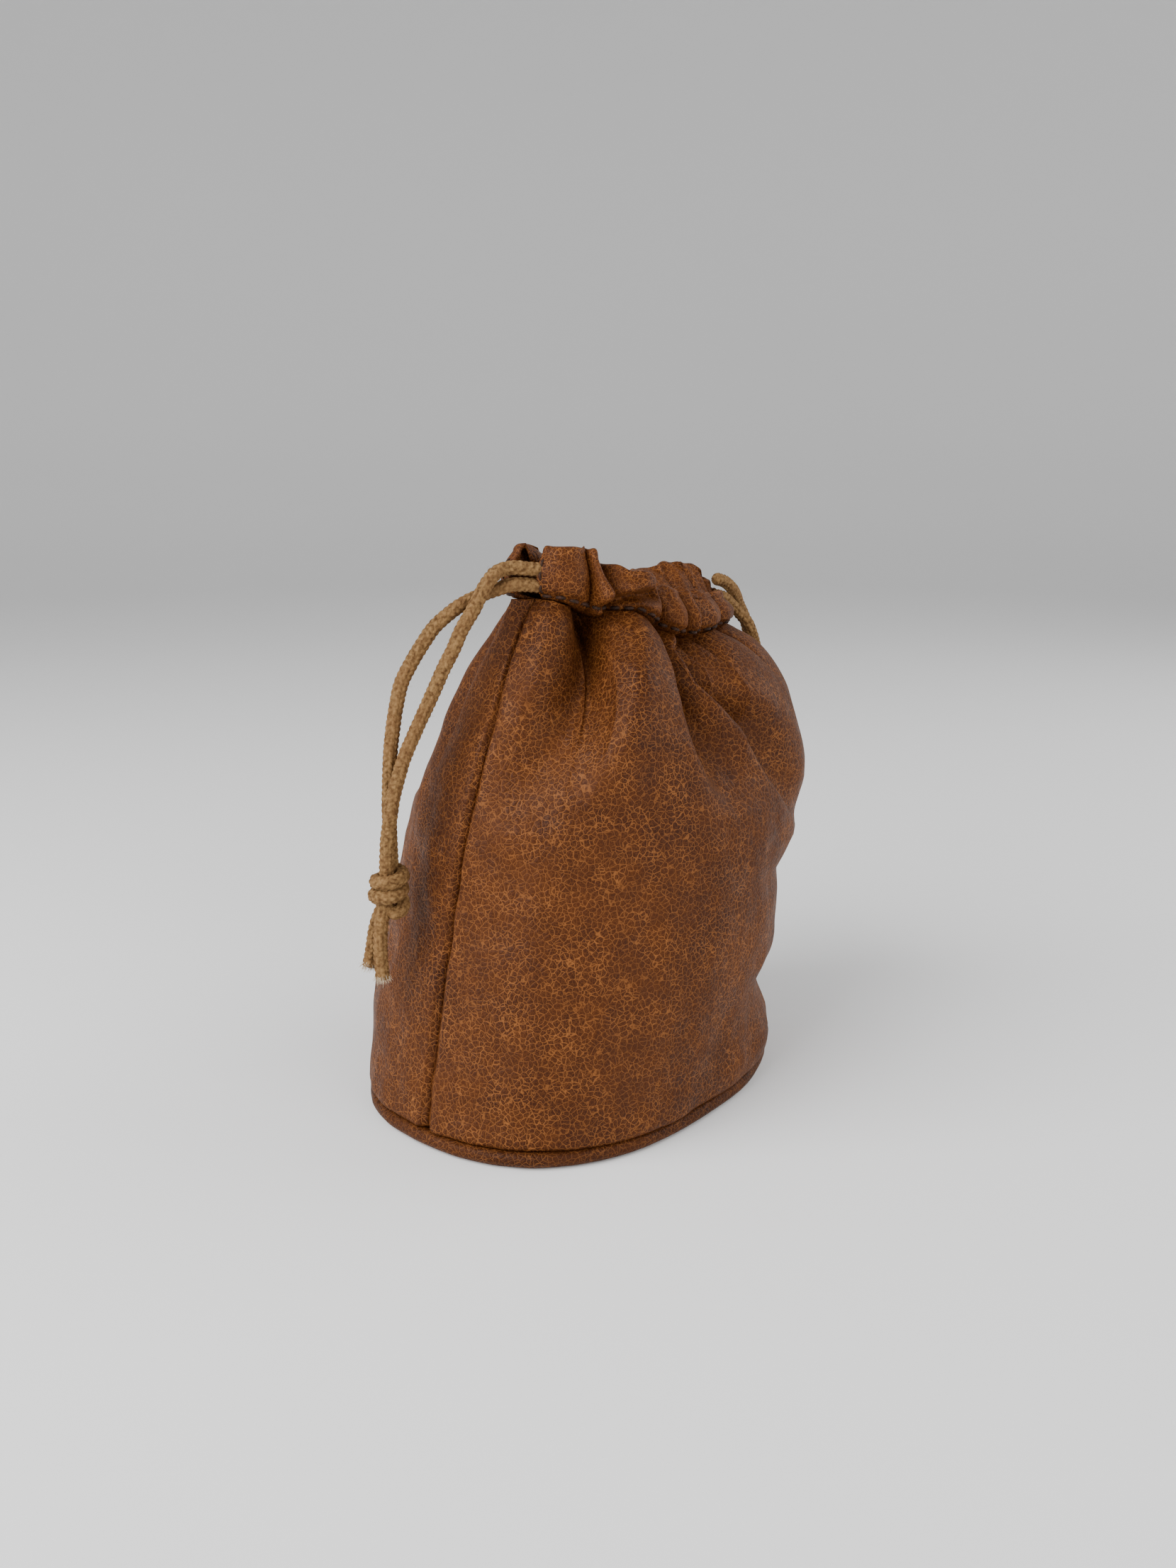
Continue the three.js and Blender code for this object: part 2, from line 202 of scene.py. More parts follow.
def leather_material(name, cell=1.65, tone=1.0, border_strength=1.0):
    """Waxed pull-up leather: dark crackled cells between paler, orange-brown borders."""
    shader = Shader(name)
    warp = shader.vector("SUBTRACT", shader.noise(3.2, 2, colour=True), (0.5, 0.5, 0.5))
    warped = shader.vector("ADD", shader.place, shader.vector("SCALE", warp, scale=2.2))
    coarse = shader.cells(cell, warped)
    fine = shader.cells(cell * 0.5, warped)
    border = shader.ramp(coarse, 0.01, 0.08, 1.0, 0.0)
    fine_border = shader.ramp(fine, 0.01, 0.10, 1.0, 0.0)
    patches = shader.ramp(shader.noise(30, 3), 0.36, 0.66)
    spots = shader.ramp(shader.noise(6, 4), 0.35, 0.68)
    wear = shader.ramp(shader.math("ADD", patches, spots), -0.35, 1.9)
    cells = shader.mix(wear, toned(DARK_CELL, tone), toned(MIDDLE_CELL, tone))
    lines = shader.math("MAXIMUM", border, shader.math("MULTIPLY", fine_border, 0.38))
    strength = shader.math("MULTIPLY", lines, shader.ramp(shader.noise(9, 3), 0.32, 0.68, 0.4, 0.9))
    strength = shader.math("MULTIPLY", strength, border_strength)
    colour = shader.mix(strength, cells, toned(CELL_BORDER, tone))
    low = shader.bump(shader.ramp(coarse, 0.0, 0.3), 0.5, 0.2)
    relief = shader.bump(shader.ramp(fine, 0.0, 0.3), 0.4, 0.1, low)
    grain = shader.bump(shader.noise(0.5, 3), 0.3, 0.08, relief)
    roughness = shader.ramp(shader.noise(6, 3), 0.3, 0.7, 0.46, 0.62)
    return shader.finish(colour, roughness, grain, 0.12)


def cord_material(name):
    """Waxed cotton, tan, with darker hollows and specks of dye."""
    shader = Shader(name)
    yarns = shader.ramp(shader.noise(1.1, 3), 0.32, 0.66)
    colour = shader.mix(yarns, toned(COTTON_HOLLOW), toned(COTTON_YARN))
    specks = shader.ramp(shader.noise(9, 3), 0.45, 0.75, 0.0, 0.45)
    colour = shader.mix(specks, colour, toned(COTTON_SPECK))
    relief = shader.bump(shader.noise(0.28, 4), 0.5, 0.12)
    return shader.finish(colour, 0.82, relief, 0.15)


def plain_material(name, dark, light, size, roughness):
    shader = Shader(name)
    colour = shader.mix(shader.ramp(shader.noise(size, 3), 0.35, 0.65), dark + (1,), light + (1,))
    relief = shader.bump(shader.noise(size * 0.4, 3), 0.4, 0.1)
    return shader.finish(colour, roughness, relief, 0.3)


WALL_LEATHER = leather_material("wall_leather")
CASING_LEATHER = leather_material("casing_leather", 1.35, 1.1)
BASE_LEATHER = leather_material("base_leather", 1.5, 0.85, 0.8)
CORD_COTTON = cord_material("cord_cotton")
FRAYED_COTTON = plain_material("frayed_cotton", (0.42, 0.30, 0.18), (0.72, 0.60, 0.44), 1.2, 0.95)
BROWN_THREAD = plain_material("brown_thread", (0.012, 0.005, 0.002), (0.045, 0.016, 0.007), 0.6, 0.8)


# ---------------------------------------------------------------- mesh helpers

class Build:
    """Gathers points and faces, in millimetres, for one piece."""

    def __init__(self):
        self.points, self.faces, self.slots = [], [], []
        self.count = 0

    def add(self, points, faces, slot=0):
        points = np.asarray(points, float).reshape(-1, 3)
        self.faces += [[index + self.count for index in face] for face in faces]
        self.slots += [slot] * len(faces)
        self.points.append(points)
        self.count += len(points)

    def finish(self, name, materials):
        mesh = bpy.data.meshes.new(name)
        mesh.from_pydata(metres(np.vstack(self.points)).tolist(), [], self.faces)
        for material in materials:
            mesh.materials.append(material)
        mesh.polygons.foreach_set("use_smooth", [True] * len(mesh.polygons))
        mesh.polygons.foreach_set("material_index", self.slots)
        piece = bpy.data.objects.new(name, mesh)
        bpy.context.scene.collection.objects.link(piece)
        return piece


def grid_faces(rows, columns, wrap_rows=False, wrap_columns=False):
    """Quads over a grid of points stored row by row."""
    i, j = np.meshgrid(np.arange(rows if wrap_rows else rows - 1),
                       np.arange(columns if wrap_columns else columns - 1), indexing="ij")
    next_i, next_j = (i + 1) % rows, (j + 1) % columns
    quads = [i * columns + j, i * columns + next_j, next_i * columns + next_j, next_i * columns + j]
    return np.stack(quads, -1).reshape(-1, 4).tolist()


def flipped(faces):
    return [face[::-1] for face in faces]


def smoothstep(low, high, value):
    t = np.clip((np.asarray(value, float) - low) / (high - low), 0, 1)
    return t * t * (3 - 2 * t)


def ripple(points, seed, length, octaves=3):
    """Gentle noise over points, about -1 to 1, whose waves are length across at the largest."""
    random = np.random.default_rng(seed)
    value = np.zeros(points.shape[:-1])
    for octave in range(octaves):
        for _ in range(6):
            direction = random.normal(size=3)
            direction /= np.linalg.norm(direction)
            phase = random.uniform(0, 2 * math.pi)
            wave = points @ direction * 2 * math.pi * 2 ** octave / length
            value += 0.5 ** octave / 4 * np.sin(wave + phase)
    return value


def smooth_line(points, step):
    """A Catmull-Rom line through the points, in even steps of its length."""
    points = np.asarray(points, float)
    ends = np.vstack([2 * points[0] - points[1], points, 2 * points[-1] - points[-2]])
    t = np.linspace(0, 1, 40)[:-1, None]
    spans = []
    for a, b, c, d in zip(ends, ends[1:], ends[2:], ends[3:]):
        spans.append(0.5 * (2 * b + (c - a) * t + (2 * a - 5 * b + 4 * c - d) * t ** 2
                            + (3 * b - a - 3 * c + d) * t ** 3))
    line = np.vstack(spans + [points[-1:]])
    gone = np.concatenate([[0], np.cumsum(np.linalg.norm(np.diff(line, axis=0), axis=1))])
    places = np.linspace(0, gone[-1], max(3, int(gone[-1] / step)))
    return np.stack([np.interp(places, gone, line[:, k]) for k in range(3)], -1), gone[-1]


def carried_frames(line):
    """Two side directions carried along a line without twisting, and its own direction."""
    tangent = np.gradient(line, axis=0)
    tangent /= np.linalg.norm(tangent, axis=1, keepdims=True)
    side = np.cross(tangent[0], [0.31, 0.2, 0.93])
    sides = []
    for direction in tangent:
        side = side - direction * (side @ direction)
        side = side / np.linalg.norm(side)
        sides.append(side)
    sides = np.array(sides)
    return sides, np.cross(tangent, sides), tangent


def tube(line, radius, sides):
    """Points and faces of a closed tube. radius is one number, or one for each step and side."""
    side, across, _ = carried_frames(line)
    angle = np.linspace(0, 2 * math.pi, sides, endpoint=False)
    radius = np.broadcast_to(radius, (len(line), sides))[..., None]
    ring = line[:, None] + radius * (np.cos(angle)[None, :, None] * side[:, None]
                                     + np.sin(angle)[None, :, None] * across[:, None])
    points = np.vstack([ring.reshape(-1, 3), line[:1], line[-1:]])
    faces = grid_faces(len(line), sides, wrap_columns=True)
    first = len(line) * sides
    start = first - sides
    faces += [[first, (j + 1) % sides, j] for j in range(sides)]
    faces += [[first + 1, start + j, start + (j + 1) % sides] for j in range(sides)]
    return points, flipped(faces)


# ---------------------------------------------------------------- cords

# Each free cord hangs in a vertical plane, and its routes are [distance out from the slit, height].
LEFT_CORD = {
    "name": "left_cord",
    "slit": (-27, -4.8),
    "bearing": 150,
    "knot": (42.8, 73.4),
    "front": [
        (-6, 163.6), (0.2, 164.3), (4.2, 164.6), (8.4, 163.9), (11.6, 161.3), (14.1, 157.6), (16.2, 153.6),
        (19.6, 148.4), (22.2, 143), (25.4, 137.2), (28.2, 131.4), (31.2, 125.5), (34.1, 119.7), (36.9, 113.8),
        (39.1, 107.8), (40.8, 101.8), (41.8, 96.7), (42.8, 90.6), (43.4, 84.4), (43.4, 78), (43.2, 73.4),
        (44.5, 68.8), (45.8, 63.5), (46.2, 57), (46, 51.4), (45.9, 48.2),
    ],
    "back": [
        (-6, 159.2), (0.2, 159.8), (4.2, 159.9), (7.6, 159), (10.4, 158), (13.4, 156.8), (16.5, 155.6),
        (20.7, 153.2), (25.9, 149.2), (29.5, 144.8), (33.3, 139), (36.4, 133.2), (38.2, 126.2), (39.6, 118.2),
        (40.5, 110.1), (40.9, 103.9), (41.2, 97.7), (41.1, 91.4), (41.1, 85), (41.5, 79), (42.6, 73.4),
        (44, 69.3), (45.7, 65), (46.8, 60.9), (47.7, 55.5), (48.7, 50.8),
    ],
}
RIGHT_CORD = {
    "name": "right_cord",
    "slit": (65, -12),
    "bearing": 0,
    "knot": (24, 69.3),
    "front": [
        (-5, 150.4), (0.2, 149.2), (4.2, 146.8), (8, 143.9), (11.4, 140.4), (14.4, 136.4), (17, 131.6),
        (19.4, 125.6), (21.3, 118.5), (22.6, 110), (23.2, 101), (23.6, 92), (23.8, 84), (23.8, 77),
        (24, 69.3), (24.2, 61.6), (24.8, 53), (25.6, 44), (26.8, 36.3),
    ],
    "back": [
        (-5, 155.8), (0.2, 154.6), (4.2, 152.3), (8.5, 149.4), (12.5, 146), (15.8, 142.2), (18.4, 138),
        (20.4, 133), (21.9, 127), (22.9, 119.5), (23.4, 110.5), (23.7, 100), (23.8, 88), (23.8, 77),
        (24.2, 69.3), (24.8, 61.6), (26, 53), (27.5, 45), (29.2, 38.8),
    ],
}
STRAND_SPREAD = 2.2  # half the gap between the two strands' centre lines
KNOT_SQUEEZE = 0.5  # the strands draw together by this much inside the knot

BRAID_COLUMNS = 8
BRAID_STITCH = 1.7  # length of one stitch along the cord
BRAID_SLANT = 0.62  # how far a stitch climbs across its column, in stitches
BRAID_DEPTH = 0.36


def braid_relief(turn, along, twist=0.012):
    """Relief of a braided surface: columns of slanted stitches that lean opposite ways in turn."""
    column = turn * BRAID_COLUMNS + twist * along
    place = column - np.floor(column)
    leaning = np.where(np.floor(column).astype(int) % 2 == 0, 1.0, -1.0)
    stitch = along / BRAID_STITCH + leaning * BRAID_SLANT * (place - 0.5)
    plump = np.abs(np.sin(np.pi * stitch)) ** 0.7
    groove = 1 - np.abs(2 * place - 1) ** 3
    return BRAID_DEPTH * (plump * groove - 0.62)


def hanging_point(cord, out, height, sideways):
    """A point at a distance out from the slit; sideways is towards the front."""
    bearing = math.radians(cord["bearing"])
    x = cord["slit"][0] + out * math.cos(bearing) - sideways * abs(math.sin(bearing))
    y = cord["slit"][1] + out * math.sin(bearing) - sideways * abs(math.cos(bearing))
    return (x, y, height)


def strand_route(cord, strand):
    """One strand's route, beside the other strand and drawn in towards it at the knot."""
    side = 1 if strand == "front" else -1
    route = []
    for out, height in cord[strand]:
        spread = side * STRAND_SPREAD * float(smoothstep(5, 13, out))
        near_knot = float(smoothstep(11, 4, abs(height - cord["knot"][1])))
        spread *= 1 - (1 - KNOT_SQUEEZE) * near_knot
        route.append(hanging_point(cord, out, height, spread))
    return route


def braid(build, line, length, diameter, sides=56, slot=0):
    """Adds a braided tube along a line."""
    along = np.linspace(0, length, len(line))[:, None]
    turn = np.linspace(0, 1, sides, endpoint=False)[None, :]
    lumps = np.stack(np.broadcast_arrays(along, 9 * np.cos(6.283 * turn), 9 * np.sin(6.283 * turn)), -1)
    radius = diameter / 2 + braid_relief(turn, along) + 0.07 * ripple(lumps, 5, 11)
    points, faces = tube(line, radius, sides)
    build.add(points, faces, slot)


def hair(build, root, direction, length, radius, random, curl, slot):
    """Adds one bent three-sided fibre."""
    direction = direction / np.linalg.norm(direction)
    bend = random.normal(size=3) * curl
    t = np.linspace(0, 1, 5)[:, None]
    line = root + length * (direction * t + bend * t * t)
    points, faces = tube(line, radius * (1 - 0.7 * t), 3)
    build.add(points, faces, slot)


def fuzz(build, line, diameter, count, random):
    """Adds short fibres that stand up from a cord's surface."""
    side, across, tangent = carried_frames(line)
    for pick in random.integers(4, len(line) - 4, count):
        angle = random.uniform(0, 2 * math.pi)
        out = math.cos(angle) * side[pick] + math.sin(angle) * across[pick]
        direction = out * 0.7 + random.uniform(-1.3, 1.3) * tangent[pick]
        hair(build, line[pick] + out * (diameter / 2 - 0.2), direction, random.uniform(0.5, 1.1), 0.035,
             random, 0.3, 0)


def fray(build, line, diameter, random):
    """Adds the loosened yarns of a cut end."""
    side, across, tangent = carried_frames(line)
    end = line[-1]
    for _ in range(150):
        angle = random.uniform(0, 2 * math.pi)
        reach = (diameter / 2 - 0.1) * math.sqrt(random.uniform(0.05, 1))
        out = math.cos(angle) * side[-1] + math.sin(angle) * across[-1]
        root = end + out * reach - tangent[-1] * random.uniform(1.0, 1.8)
        direction = tangent[-1] + out * random.uniform(0.0, 0.35) * reach
        hair(build, root, direction, random.uniform(1.8, 2.7), 0.11, random, 0.16, 1)


# The knot's loops, in steps of half a turn: height above its middle, and shift towards the bag.
KNOT_STEPS = [(-0.3, 5.6, 0.4), (0.0, 5.1, 0.5), (1.0, 3.4, 0.5), (2.0, 1.1, 0.2), (3.0, -0.9, 0.0),
              (3.9, -1.5, 0.0)]
KNOT_WIDE = 3.7
KNOT_THICK = 4.5
# The last, smaller loop: towards the bag, up, and towards the front strand.
KNOT_TUCK = [(3.8, -2.6, 0.6), (3.7, -3.9, 1.8), (2.8, -5.1, 2.3), (1.2, -5.6, 2.1), (0.0, -5.2, 1.0),
             (-0.6, -4.2, -0.6)]


def knot_line(cord):
    """The knot's route: twice round both strands, then a small loop tucked in below."""
    bearing = math.radians(cord["bearing"])
    inward = -np.array([math.cos(bearing), math.sin(bearing), 0])
    forward = -np.array([abs(math.sin(bearing)), abs(math.cos(bearing)), 0])
    centre = np.array(hanging_point(cord, *cord["knot"], 0))
    steps = np.array(KNOT_STEPS)
    route = []
    for half_turn in np.linspace(steps[0, 0], steps[-1, 0], 34):
        angle = math.pi * half_turn
        rise = np.interp(half_turn, steps[:, 0], steps[:, 1])
        shift = np.interp(half_turn, steps[:, 0], steps[:, 2]) + KNOT_WIDE * math.cos(angle)
        route.append(centre + inward * shift + forward * KNOT_THICK * math.sin(angle) + [0, 0, rise])
    for shift, rise, ahead in KNOT_TUCK:
        route.append(centre + inward * shift + forward * ahead + [0, 0, rise])
    return route


def add_free_cord(cord, hang_body):
    """Both strands of a free cord, each one piece from inside its slit to its frayed tail, and the knot."""
    name = cord["name"]
    knot = Build()
    line, length = smooth_line(knot_line(cord), 0.16)
    braid(knot, line, length, 4.2)
    fuzz(knot, line, 4.3, 160, np.random.default_rng(40))
    knot_piece = knot.finish(f"{name}_knotted", [CORD_COTTON, FRAYED_COTTON])
    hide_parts(f"{name}_knot")
    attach(knot_piece, hang_body)
    for number, strand in enumerate(("front", "back")):
        random = np.random.default_rng(50 + number)
        route = strand_route(cord, strand)
        line, length = smooth_line(route, 0.16)
        build = Build()
        braid(build, line, length, CORD)
        fuzz(build, line, CORD, 420, random)
        fray(build, line, CORD, random)
        piece = build.finish(f"{name}_{strand}_length", [CORD_COTTON, FRAYED_COTTON])
        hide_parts(*[f"{name}_{strand}_{part}" for part in ("feed", "strand", "tail")])
        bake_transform(piece)


add_free_cord(LEFT_CORD, "left_cord_hang")
add_free_cord(RIGHT_CORD, "right_cord_hang")


# ---------------------------------------------------------------- the pouch's smooth shape

def section_values(height):
    """The section properties at any heights, by a smooth cubic through the listed sections."""
    levels, table = SECTIONS[:, 0], SECTIONS[:, 1:]
    last = len(levels) - 1
    below, above = np.maximum(np.arange(last + 1) - 1, 0), np.minimum(np.arange(last + 1) + 1, last)
    slopes = (table[above] - table[below]) / (levels[above] - levels[below])[:, None]
    height = np.clip(np.asarray(height, float), 0, SEAM_HEIGHT)
    k = np.clip(np.searchsorted(levels, height, side="right") - 1, 0, last - 1)
    span = (levels[k + 1] - levels[k])[..., None]
    t = ((height - levels[k])[..., None]) / span
    return ((2 * t ** 3 - 3 * t ** 2 + 1) * table[k] + (t ** 3 - 2 * t ** 2 + t) * span * slopes[k]
            + (-2 * t ** 3 + 3 * t ** 2) * table[k + 1] + (t ** 3 - t ** 2) * span * slopes[k + 1])


def oval(values, side, along, inset):
    """Points x, y on an oval, and their place along its length from -1 to 1. along runs left to right."""
    a, b, x0, y0, power, skew = np.moveaxis(values, -1, 0)
    angle = np.pi * (1 + along) if side == "front" else np.pi * (1 - along)
    c, s = np.cos(angle), np.sin(angle)
    cross = np.sign(c) * np.abs(c) ** (2 / power)
    deep = np.sign(s) * np.abs(s) ** (2 / power)
    normal = np.stack([c / a, s / b], -1)
    normal /= np.linalg.norm(normal, axis=-1, keepdims=True)
    x = a * cross - inset * normal[..., 0]
    y = b * deep - inset * normal[..., 1]
    return x0 + x, y0 + y + skew * x, cross


# ---------------------------------------------------------------- gathers

# The gathers of each side are a chain of lobes from the left slit to the right one. Along the side
# (0 to 1), each lobe ends at "seam" on the casing's seam and at "wall" lower down, where its leather
# spreads out. "deep" is how far the crease after it goes in, "fade" the height where that crease ends,
# "sunk" how far the wall's lobe lies behind its neighbours, "lean" how far its ridge tips to the right,
# "top" the height of its casing and "sag" how far its part of the seam hangs down.
LOBE_VALUES = ("seam", "wall", "deep", "fade", "sunk", "lean", "top", "sag")
LOBES = {
    "front": [
        (0.205, 0.13, 8.0, 136, 0, 0.05, 170.3, 0),
        (0.265, 0.17, 11.0, 136, 5.0, 0.0, 169.3, 2.5),
        (0.42, 0.42, 10.0, 137, 0, 0.14, 162.6, 0.5),
        (0.50, 0.48, 7.5, 136, 0.5, 0.12, 156.0, 6.0),
        (0.54, 0.55, 8.0, 136, 2.0, 0.0, 155.3, 6.5),
        (0.68, 0.72, 6.5, 130, 0, -0.08, 154.0, 4.0),
        (0.85, 0.87, 5.0, 126, 0, -0.1, 152.0, 1.0),
        (1.0, 1.0, 1.2, 120, 0, 0.0, 150.5, 0),
    ],
    "back": [
        (0.12, 0.11, 5.0, 100, 0, 0.0, 171.0, 0),
        (0.24, 0.23, 6.5, 92, 0, 0.05, 168.0, 0.5),
        (0.36, 0.37, 8.0, 88, 0.5, -0.08, 163.0, 1.0),
        (0.49, 0.49, 7.0, 95, 0, 0.08, 158.5, 0.0),
        (0.58, 0.60, 7.5, 90, 0.5, 0.0, 157.5, 1.0),
        (0.66, 0.68, 5.0, 96, 0, -0.1, 160.0, 0.5),
        (0.74, 0.76, 5.0, 92, 0, 0.1, 162.0, 0.5),
        (0.82, 0.84, 5.0, 98, 0, 0.0, 161.5, 0.5),
        (0.91, 0.92, 4.5, 100, 0, 0.0, 156.0, 0),
        (1.0, 1.0, 1.2, 110, 0, 0.0, 152.0, 0),
    ],
}

# The big folds of each wall below its seam. Each follows a path of [height, place along the side,
# depth, reach to the left, reach to the right], in millimetres but for the place. Minus is a ridge.
FOLDS = {
    "front": [
        [(150, .238, 12, 6, 6), (146, .236, 18, 7, 6.5), (143, .230, 20, 7.5, 6.5),
         (139, .218, 19.5, 8.5, 6.5), (135.5, .20, 17.5, 9, 7), (127.5, .173, 14.5, 10, 8),
         (119.5, .152, 11.5, 12, 9),
         (111, .130, 8, 13, 10), (102, .108, 4, 14, 12), (90, .10, 0, 15, 14)],
        [(150, .30, -0.5, 6, 6), (145, .30, -3.5, 6, 7), (136, .29, -5.5, 6, 9), (128, .275, -6, 8, 11),
         (117, .26, -5.5, 11, 15), (108, .24, -3.6, 14, 18), (94, .22, 0, 18, 20)],
        [(150, .415, 9, 1.5, 4), (145.5, .402, 14, 1.5, 5), (138.5, .386, 15, 1.6, 5.5),
         (129.5, .372, 15.5, 1.8, 7), (123.5, .372, 15, 2.0, 8.5), (118, .38, 13.5, 2.2, 10),
         (112.5, .393, 11, 2.5, 12), (107.5, .411, 8, 3, 14), (101, .436, 4, 5, 15), (92, .46, 0, 8, 16)],
        [(150, .50, 6, 1.5, 6), (142, .46, 11, 1.6, 8), (136, .447, 14, 1.6, 9), (131, .445, 16, 1.8, 10),
         (126.5, .463, 16, 2.0, 10), (121.5, .486, 15, 2.2, 11), (118, .505, 14, 2.4, 12),
         (110.5, .533, 12, 2.8, 13), (102.5, .56, 9, 3.4, 14), (92, .62, 5.5, 5, 16), (82, .70, 1.4, 8, 17),
         (73, .75, 0, 10, 18)],
        [(146, .66, 0, 12, 16), (130, .68, -1.5, 12, 20), (112, .70, -1.5, 14, 24), (96, .73, -2.2, 18, 26),
         (84, .76, -1.2, 18, 26), (76, .78, 0, 18, 26)],
        [(80, .74, 0, 30, 30), (70, .74, 4.2, 34, 34), (62, .74, 2.0, 34, 34), (52, .74, 0.6, 30, 30),
         (46, .74, 0, 30, 30)],
        [(44, .76, 0, 30, 26), (33, .76, 5.5, 34, 30), (26, .76, 3.0, 34, 30), (18, .78, -1.0, 40, 30),
         (12, .78, -2.5, 50, 34), (5, .78, -1.5, 50, 34)],
    ],
    "back": [
        [(146, .27, 3, 5, 7), (125, .26, 5, 8, 8), (105, .25, 2.5, 9, 12), (90, .24, 0, 10, 14)],
        [(146, .45, 4, 4, 7), (125, .42, 6, 5, 10), (108, .40, 3.5, 9, 13), (88, .38, 0, 12, 15)],
        [(146, .70, 4, 4, 7), (125, .71, 6, 6, 9), (108, .73, 3, 10, 12), (90, .75, 0, 12, 15)],
        [(80, .45, 0, 30, 30), (62, .45, 2.5, 34, 34), (48, .45, 0, 34, 34)],
    ],
}

# How far the seam is drawn in under the bulging wall: [place along the side, depth].
NECK = {
    "front": [(0, 0.5), (0.2, 0.8), (0.42, 1.5), (0.6, 3.5), (0.75, 6.0), (0.9, 6.5), (1, 4)],
    "back": [(0, -3.0), (0.06, -3.5), (0.14, -1.5), (0.3, 2), (0.6, 3), (0.8, 4.5), (0.92, 4), (1, 3)],
}
FIRST_CREASE = (0.0, 0.0, 1.2, 100, 0, 0, 172, 0)  # the lobe values at the left slit
COLUMNS = {"front": 440, "back": 300}  # columns of leather along each side


def lobe_columns(side):
    """For each column of leather from left to right, the values of its lobe and the creases beside it."""
    lobes = np.array([FIRST_CREASE] + LOBES[side], float)
    table = dict(zip(LOBE_VALUES, lobes.T))
    columns = {key: [] for key in ("phase", "left", "right")}
    for number in range(1, len(lobes)):
        width = table["wall"][number] - table["wall"][number - 1]
        steps = max(18, int(width * COLUMNS[side]))
        last = number == len(lobes) - 1
        phase = np.linspace(0, 1, steps, endpoint=last)
        columns["phase"].append(phase)
        columns["left"] += [number - 1] * steps
        columns["right"] += [number] * steps
    left, right = np.array(columns["left"]), np.array(columns["right"])
    phase = np.concatenate(columns["phase"])
    centres = (np.concatenate([[0], table["seam"][:-1]]) + table["seam"]) / 2
    return table, left, right, phase, centres


def folded(values, left, right, phase, key, amount):
    """Place along the side, and 0 in a crease to 1 on a lobe's crown. amount is how far it is gathered."""
    rise = (1 - np.cos(np.pi * phase)) / 2
    crown = np.sin(np.pi * phase)
    start, end = values[key][left], values[key][right]
    spread = phase * (1 - amount) + rise * amount
    along = start + (end - start) * (spread + values["lean"][right] * crown * amount)
    return along, crown


GATHER_FOOT = 84  # below this height the wall has no gathers
PANEL_WIDTH = 190  # each wall's length along its side, seam to seam
SEAM_GROOVE = 1.5  # depth of the groove under the casing, and its height
SEAM_GROOVE_REACH = 2.4
NECK_REACH = 5.0


